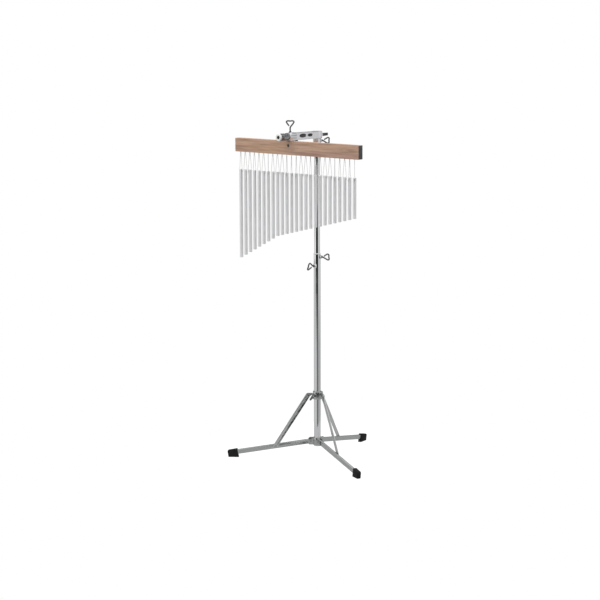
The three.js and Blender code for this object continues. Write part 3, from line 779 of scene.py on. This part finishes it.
for cutter in arm_cutters:
    bpy.data.objects.remove(cutter)
arm.data.shade_smooth()
arm.data.set_sharp_from_angle(angle=math.radians(45))
# the pockets and the lug get a dark metal as painted shade, standing in for the shade inside them
arm.data.materials.append(pocket_shade_casting)
for face in arm.data.polygons:
    x, y, z = (face.center - at_tube(0, 0, 0)) / mm
    in_pocket = -87 < y < -30 and 907.5 < z < 920 and abs(x) < beam_half(y) - 1.0
    face.material_index = 1 if in_pocket or y > 17 else 0
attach(arm, "holder_arm")
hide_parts("holder_arm")


def turned(form, profile, sides, closed, origin, axis):
    """Adds a turned shape: [radius, distance] points in millimetres, spun about an axis."""
    turn = Vector((0, 0, 1)).rotation_difference(Vector(axis)).to_matrix().to_4x4()
    where = Matrix.Translation(origin) @ turn
    rings = []
    for radius, height in profile:
        if radius == 0:
            rings.append([form.verts.new(where @ Vector((0, 0, height * mm)))] * sides)
            continue
        angles = [2 * math.pi * i / sides for i in range(sides)]
        ring = [(radius * mm * math.cos(a), radius * mm * math.sin(a), height * mm) for a in angles]
        rings.append([form.verts.new(where @ Vector(point)) for point in ring])
    pairs = list(zip(rings, rings[1:] + rings[:1]))
    for low, high in pairs if closed else pairs[:-1]:
        for i in range(sides):
            j = (i + 1) % sides
            corners = []
            for corner in (low[i], low[j], high[j], high[i]):
                if corner not in corners:
                    corners.append(corner)
            if len(corners) > 2:
                form.faces.new(corners)


# The spigot is turned, so it is drawn on its own: a bored tube with a chamfered mouth.
spigot_form = bmesh.new()
spigot_profile = [
    (spigot_bore, 118),
    (spigot_radius, 118),
    (spigot_radius, 154.9),
    (5.4, 155.7),
    (4.9, 155.7),
    (spigot_bore, 155.1),
]
turned(spigot_form, spigot_profile, 48, True, at_tube(0, 0, barrel_z), (0, -1, 0))
spigot = shaped("arm_spigot", spigot_form, cast_chrome, edge=0.2 * mm)


def line_bore(thing, radius, material, behind=None, backing=None):
    """Gives another finish to the faces inside a radius of the barrel's axis, and to those behind."""
    thing.data.materials.append(material)
    if backing:
        thing.data.materials.append(backing)
    for face in thing.data.polygons:
        x, y, z = (face.center - at_tube(0, 0, barrel_z)) / mm
        if math.hypot(x, z) < radius:
            face.material_index = 1
        elif backing and y > behind:
            face.material_index = 2


line_bore(spigot, 4.7, dark_nickel)
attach(spigot, "holder_arm")

# ---- ring nut -----------------------------------------------------------------------------------
# A dark plated steel nut on the spigot. Its grip is cut with a few coarse slanting flutes between
# two plain collars.
nut_low, nut_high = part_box("ring_nut")
nut_back, nut_front = (tube_y - nut_high.y) / mm, (tube_y - nut_low.y) / mm
nut_radius, nut_bore, flute_depth = 10.2, 6.5, 2.5
flutes, flute_lean = 8, 1.9
nut_steel = metal("nut_steel", (0.24, 0.24, 0.25), (0.34, 0.34, 0.35), 0.06, 0.12)
nut_form = bmesh.new()
nut_sides, nut_rows = 144, 40


def nut_point(radius, angle, y):
    """A vertex of the nut."""
    return nut_form.verts.new(at_tube(radius * math.cos(angle), -y, barrel_z + radius * math.sin(angle)))


nut_rings = []
for row in range(nut_rows + 1):
    share_along = row / nut_rows
    y = nut_back + (nut_front - nut_back) * share_along
    in_grip = min(1, max(0, (0.5 - abs(share_along - 0.5) - 0.10) / 0.06))
    edge_fall = max(0, 0.03 - min(share_along, 1 - share_along)) * 26
    ring = []
    for i in range(nut_sides):
        angle = 2 * math.pi * i / nut_sides
        wave = math.sin(flutes / 2 * (angle + flute_lean * share_along * math.pi / 2)) ** 2
        radius = nut_radius - in_grip * flute_depth * (1 - wave) ** 2 - edge_fall
        ring.append(nut_point(radius, angle, y))
    nut_rings.append(ring)
for y in (nut_front, nut_back):
    nut_rings.append([nut_point(nut_bore, 2 * math.pi * i / nut_sides, y) for i in range(nut_sides)])
for low_ring, high_ring in zip(nut_rings, nut_rings[1:] + nut_rings[:1]):
    for i in range(nut_sides):
        j = (i + 1) % nut_sides
        nut_form.faces.new((low_ring[i], low_ring[j], high_ring[j], high_ring[i]))
nut = shaped("ring_nut_body", nut_form, nut_steel)
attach(nut, "ring_nut")
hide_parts("ring_nut")

# ---- nylon bush ---------------------------------------------------------------------------------
# A turned white nylon disc on the end of the spigot, on a steel backing ring. Its centre is bored for
# an accessory rod and lined with dark steel.
white_nylon = moulded("white_nylon", (0.84, 0.84, 0.82), (0.90, 0.90, 0.89), 0.35, 0.5, 1800, 60, 0.01)
bush_low, bush_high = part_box("nylon_bush")
bush_back, bush_front = (tube_y - bush_high.y) / mm, (tube_y - bush_low.y) / mm
bush_form = bmesh.new()
bush_profile = [
    (6.5, bush_back),
    (9.5, bush_back),
    (9.5, bush_front - 5),
    (9.1, bush_front - 4.6),
    (9.1, bush_front - 4),
    (9.5, bush_front - 3.6),
    (9.5, bush_front - 0.9),
    (8.6, bush_front),
    (5.2, bush_front),
    (spigot_bore, bush_front - 0.9),
    (spigot_bore, 156),
    (6.5, 156),
]
turned(bush_form, bush_profile, 64, True, at_tube(0, 0, barrel_z), (0, -1, 0))
bush = shaped("nylon_bush_body", bush_form, white_nylon, edge=0.18 * mm)
line_bore(bush, 4.7, dark_nickel, -bush_front + 4.8, nut_steel)
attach(bush, "holder_arm")
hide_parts("nylon_bush")

# ---- steady pad ---------------------------------------------------------------------------------
# A small block of black rubber, glued under the arm behind the bar so that the bar can't tip.
black_rubber = moulded("black_rubber", (0.004, 0.004, 0.004), (0.011, 0.011, 0.011), 0.5, 0.7, 1700, 70, 0.05)
black_rubber.node_tree.nodes["Principled BSDF"].inputs["Specular IOR Level"].default_value = 0.22


def softened(name, node, material, edge, steps=3, tools=None):
    """A copy of a frame node with its triangles merged into faces and its edges rounded."""
    form = bmesh.new()
    form.from_mesh(frame["nodes"][node].data)
    bmesh.ops.remove_doubles(form, verts=form.verts, dist=0.002 * mm)
    bmesh.ops.dissolve_limit(form, angle_limit=math.radians(1), verts=form.verts, edges=form.edges)
    return shaped(name, form, material, tools, edge, steps)


pad = softened("steady_pad_body", "steady_pad", black_rubber, 0.9 * mm, 4)
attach(pad, "holder_arm")
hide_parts("steady_pad")

# ---- tubes --------------------------------------------------------------------------------------
# The upper tube slides in the lower one. Both are drawn steel tube with bright chrome, with
# deburred ends. Two threaded bosses are brazed to the lower tube for the height screws.
bright_chrome = metal(
    "bright_chrome", (0.82, 0.83, 0.84), (0.89, 0.90, 0.91), 0.05, 0.11, marks=35, depth=0.001
)
tube_sides = 96


def pipe(form, inner, outer, bottom, top):
    """Adds an upright pipe round the tube's axis with eased ends, in millimetres."""
    ease = 0.3
    profile = [
        (inner, bottom + ease),
        (inner + ease, bottom),
        (outer - ease, bottom),
        (outer, bottom + ease),
        (outer, top - ease),
        (outer - ease, top),
        (inner + ease, top),
        (inner, top - ease),
    ]
    turned(form, profile, tube_sides, True, at_tube(0, 0, 0), (0, 0, 1))


upper_form = bmesh.new()
pipe(upper_form, 6.75, 7.95, tube_low.z / mm, tube_high.z / mm)
upper_tube = shaped("upper_tube_body", upper_form, bright_chrome)
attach(upper_tube, "upper_tube")
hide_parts("upper_tube")

joints = {joint["name"]: joint for joint in frame["joints"]}
lower_low, lower_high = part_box("lower_tube")
lower_form = bmesh.new()
pipe(lower_form, 8.6, 9.525, lower_low.z / mm, lower_high.z / mm)
boss_profile = [
    (2.8, 8.9),
    (7.2, 8.9),
    (6.2, 9.4),
    (5.2, 10.0),
    (4.8, 10.8),
    (4.8, 12.0),
    (4.3, 12.5),
    (3.2, 12.5),
    (2.8, 12.1),
]
boss_tools = bmesh.new()
for name in ("height_screw_upper_turn", "height_screw_lower_turn"):
    outward = Vector(joints[name]["axis"])
    tip = Vector(joints[name]["pos_m"])
    root = at_tube(0, 0, tip.z / mm)
    turned(lower_form, boss_profile, 32, True, root, outward)
    cylinder(boss_tools, root + outward * 5 * mm, root + outward * 11 * mm, 2.75 * mm)
lower_tube = shaped("lower_tube_body", lower_form, bright_chrome, boss_tools)
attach(lower_tube, "stand_base")
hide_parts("lower_tube")

# ---- guide bush ---------------------------------------------------------------------------------
# A thin white nylon ring pressed into the top of the lower tube, which the upper tube runs in.
guide_low, guide_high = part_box("guide_bush")
flange_bottom = lower_high.z / mm + 0.3
guide_top = guide_high.z / mm
guide_profile = [
    (8.2, guide_low.z / mm),
    (8.42, guide_low.z / mm),
    (8.42, flange_bottom),
    (9.9, flange_bottom),
    (9.9, guide_top - 1.2),
    (9.7, guide_top - 0.5),
    (9.1, guide_top),
    (8.5, guide_top),
    (8.2, guide_top - 0.3),
]
guide_form = bmesh.new()
turned(guide_form, guide_profile, tube_sides, True, at_tube(0, 0, 0), (0, 0, 1))
guide = shaped("guide_bush_body", guide_form, white_nylon)
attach(guide, "stand_base")
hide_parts("guide_bush")

# ---- wing screws --------------------------------------------------------------------------------
# Five clamp screws. Each is a threaded shank with a seat ring, and a length of bright wire bent into
# an open three-cornered finger loop that is welded to it.
wire_chrome = metal("wire_chrome", (0.14, 0.14, 0.145), (0.22, 0.22, 0.225), 0.10, 0.16, depth=0.001)
wire_tree = sweep_tree("bent_wire", [(0, 0)], 14)
wire_radius, loop_half, loop_height = 2, 10.3, 17.9
thread_pitch = 0.8

thread_tree, given = geometry_tree("screw_thread", ["Turns", "Pitch", "Core"])
run_up = place(thread_tree, "ShaderNodeMath", {0: given["Turns"], 1: given["Pitch"]}, operation="MULTIPLY")
helix = place(
    thread_tree,
    "GeometryNodeCurveSpiral",
    {
        "Resolution": 20,
        "Rotations": given["Turns"],
        "Start Radius": given["Core"],
        "End Radius": given["Core"],
        "Height": run_up.outputs[0],
    },
)
ridge_radius = place(thread_tree, "ShaderNodeMath", {0: given["Pitch"], 1: 0.5}, operation="MULTIPLY")
ridge = place(
    thread_tree, "GeometryNodeCurvePrimitiveCircle", {"Resolution": 4, "Radius": ridge_radius.outputs[0]}
)
wound = place(
    thread_tree, "GeometryNodeCurveToMesh", {0: helix.outputs[0], 1: ridge.outputs[0], "Fill Caps": True}
)
end_tree(thread_tree, given, wound.outputs[0])


def joined(name, things):
    """Several plain objects as one mesh."""
    form = bmesh.new()
    for thing in things:
        form.from_mesh(thing.data)
    mesh = bpy.data.meshes.new(name)
    form.to_mesh(mesh)
    for material in things[0].data.materials:
        mesh.materials.append(material)
    for thing in things:
        bpy.data.objects.remove(thing)
    return add_thing(name, mesh)


def wing_screw(name, shank, stem, spin):
    """One wing screw: its shank and the stem of its loop in millimetres, and how far it is turned."""
    start = shank + stem
    w, h = loop_half, loop_height
    line = [
        (0, -stem),
        (0, -0.6),
        (1.2, 2.0),
        (0.5 * w, 0.4 * h),
        (0.93 * w, 0.74 * h),
        (0.96 * w, 0.88 * h),
        (0.78 * w, 0.98 * h),
        (0.4 * w, h),
        (0, 0.97 * h),
        (-0.4 * w, h),
        (-0.78 * w, 0.98 * h),
        (-0.96 * w, 0.88 * h),
        (-0.93 * w, 0.74 * h),
        (-0.55 * w, 0.44 * h),
        (-3.0, 0.25 * h),
    ]
    points = [(x * mm, 0, (start + z) * mm) for x, z in line]
    sizes = {"Radius": wire_radius * mm, "Offset": 0.0, "Twist": 0.0, "Step": 0.7 * mm}
    wire = grow(name + "_wire", wire_tree, sizes, wire_chrome, line_mesh(name, points), edge=0.5 * mm)
    turns = (shank - 1.2) / thread_pitch
    sizes = {"Turns": turns, "Pitch": thread_pitch * mm, "Core": 2.02 * mm}
    thread = grow(name + "_thread", thread_tree, sizes, wire_chrome)
    thread.data.transform(Matrix.Translation((0, 0, 0.6 * mm)))
    core = bmesh.new()
    profile = [
        (0, 0),
        (1.5, 0),
        (2.05, 0.5),
        (2.05, shank),
        (3.1, shank),
        (3.45, shank + 0.35),
        (3.45, shank + 1.9),
        (2.9, shank + 2.4),
        (0, shank + 2.4),
    ]
    turned(core, profile, 32, False, Vector((0, 0, 0)), (0, 0, 1))
    shaft = shaped(name + "_shaft", core, wire_chrome)
    screw = joined(name + "_loop", [wire, thread, shaft])
    joint = joints[name + "_turn"]
    lean = Vector((0, 0, 1)).rotation_difference(Vector(joint["axis"])).to_matrix().to_4x4()
    where = Matrix.Translation(joint["pos_m"]) @ lean @ Matrix.Rotation(math.radians(spin), 4, "Z")
    screw.data.transform(where)
    screw.data.shade_smooth()
    screw.data.set_sharp_from_angle(angle=math.radians(40))
    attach(screw, name)
    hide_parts(name)


wing_screw("bar_screw", 40.6, 12.5, 40)
wing_screw("arm_screw", 4.35, 2.5, 75)
wing_screw("height_screw_upper", 4.25, 2.5, 60)
wing_screw("height_screw_lower", 4.25, 2.5, 60)
wing_screw("collar_screw", 4.175, 2.5, 70)

# ---- leg collar and hub -------------------------------------------------------------------------
# Pressed and welded steel, zinc plated. The collar slides on the lower tube and carries the struts;
# the hub is fixed at the foot of the tube, and its three channel brackets carry the legs.
zinc = metal(
    "zinc_plate", (0.44, 0.45, 0.45), (0.56, 0.57, 0.57), 0.14, 0.26, stretch=(900, 900, 60), marks=90
)
for node, body in (("leg_collar", "leg_collar"), ("leg_hub", "stand_base")):
    pressing = softened(node + "_pressing", node, zinc, 0.3 * mm)
    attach(pressing, body)
    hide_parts(node)

# ---- legs, struts and feet ----------------------------------------------------------------------
# Each leg is a folded steel channel, open below. A flat strap with round ends holds it to the
# collar, and a rubber cap with a flat sole is pushed over its end.
sides = ("front", "left", "back")
leg_slope = math.radians(9.4)
strut_slope = math.radians(58.02)
rolled = (1500, 1500, 14)
upward = Vector((0, 0, 1))
for side in sides:
    fold = joints[f"leg_{side}_fold"]
    pivot = Vector(fold["pos_m"])
    across = Vector(fold["axis"])
    outward = upward.cross(across).normalized()
    foot_low, foot_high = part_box("foot_" + side)
    foot_centre = (foot_low + foot_high) / 2
    if (foot_centre - pivot).dot(outward) < 0:
        outward = -outward
    down_leg = outward * math.cos(leg_slope) - upward * math.sin(leg_slope)
    dark, light = (0.46, 0.47, 0.47), (0.58, 0.59, 0.59)
    steel = metal(f"leg_steel_{side}", dark, light, 0.18, 0.30, down_leg, rolled, depth=0.002)
    leg = softened(f"leg_{side}_channel", "leg_" + side, steel, 0.4 * mm)
    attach(leg, "leg_" + side)
    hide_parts("leg_" + side)

    down_strut = outward * math.cos(strut_slope) - upward * math.sin(strut_slope)
    dark, light = (0.54, 0.55, 0.55), (0.68, 0.69, 0.69)
    strap = metal(f"strut_steel_{side}", dark, light, 0.14, 0.26, down_strut, rolled, depth=0.002)
    strut = softened(f"strut_{side}_strap", "strut_" + side, strap, 0.25 * mm)
    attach(strut, "strut_" + side)
    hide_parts("strut_" + side)

    foot = softened(f"foot_{side}_rubber", "foot_" + side, black_rubber, 0.8 * mm)
    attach(foot, "leg_" + side)
    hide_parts("foot_" + side)

# ---- rivets -------------------------------------------------------------------------------------
# Nine steel rivets join the legs, struts, collar and hub. Each has a low domed head.
for side in sides:
    for node, body in (
        ("hub_rivet_" + side, "stand_base"),
        ("collar_rivet_" + side, "leg_collar"),
        ("leg_rivet_" + side, "strut_" + side),
    ):
        rivet = softened(node + "_domed", node, zinc, 0.5 * mm)
        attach(rivet, body)
        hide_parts(node)
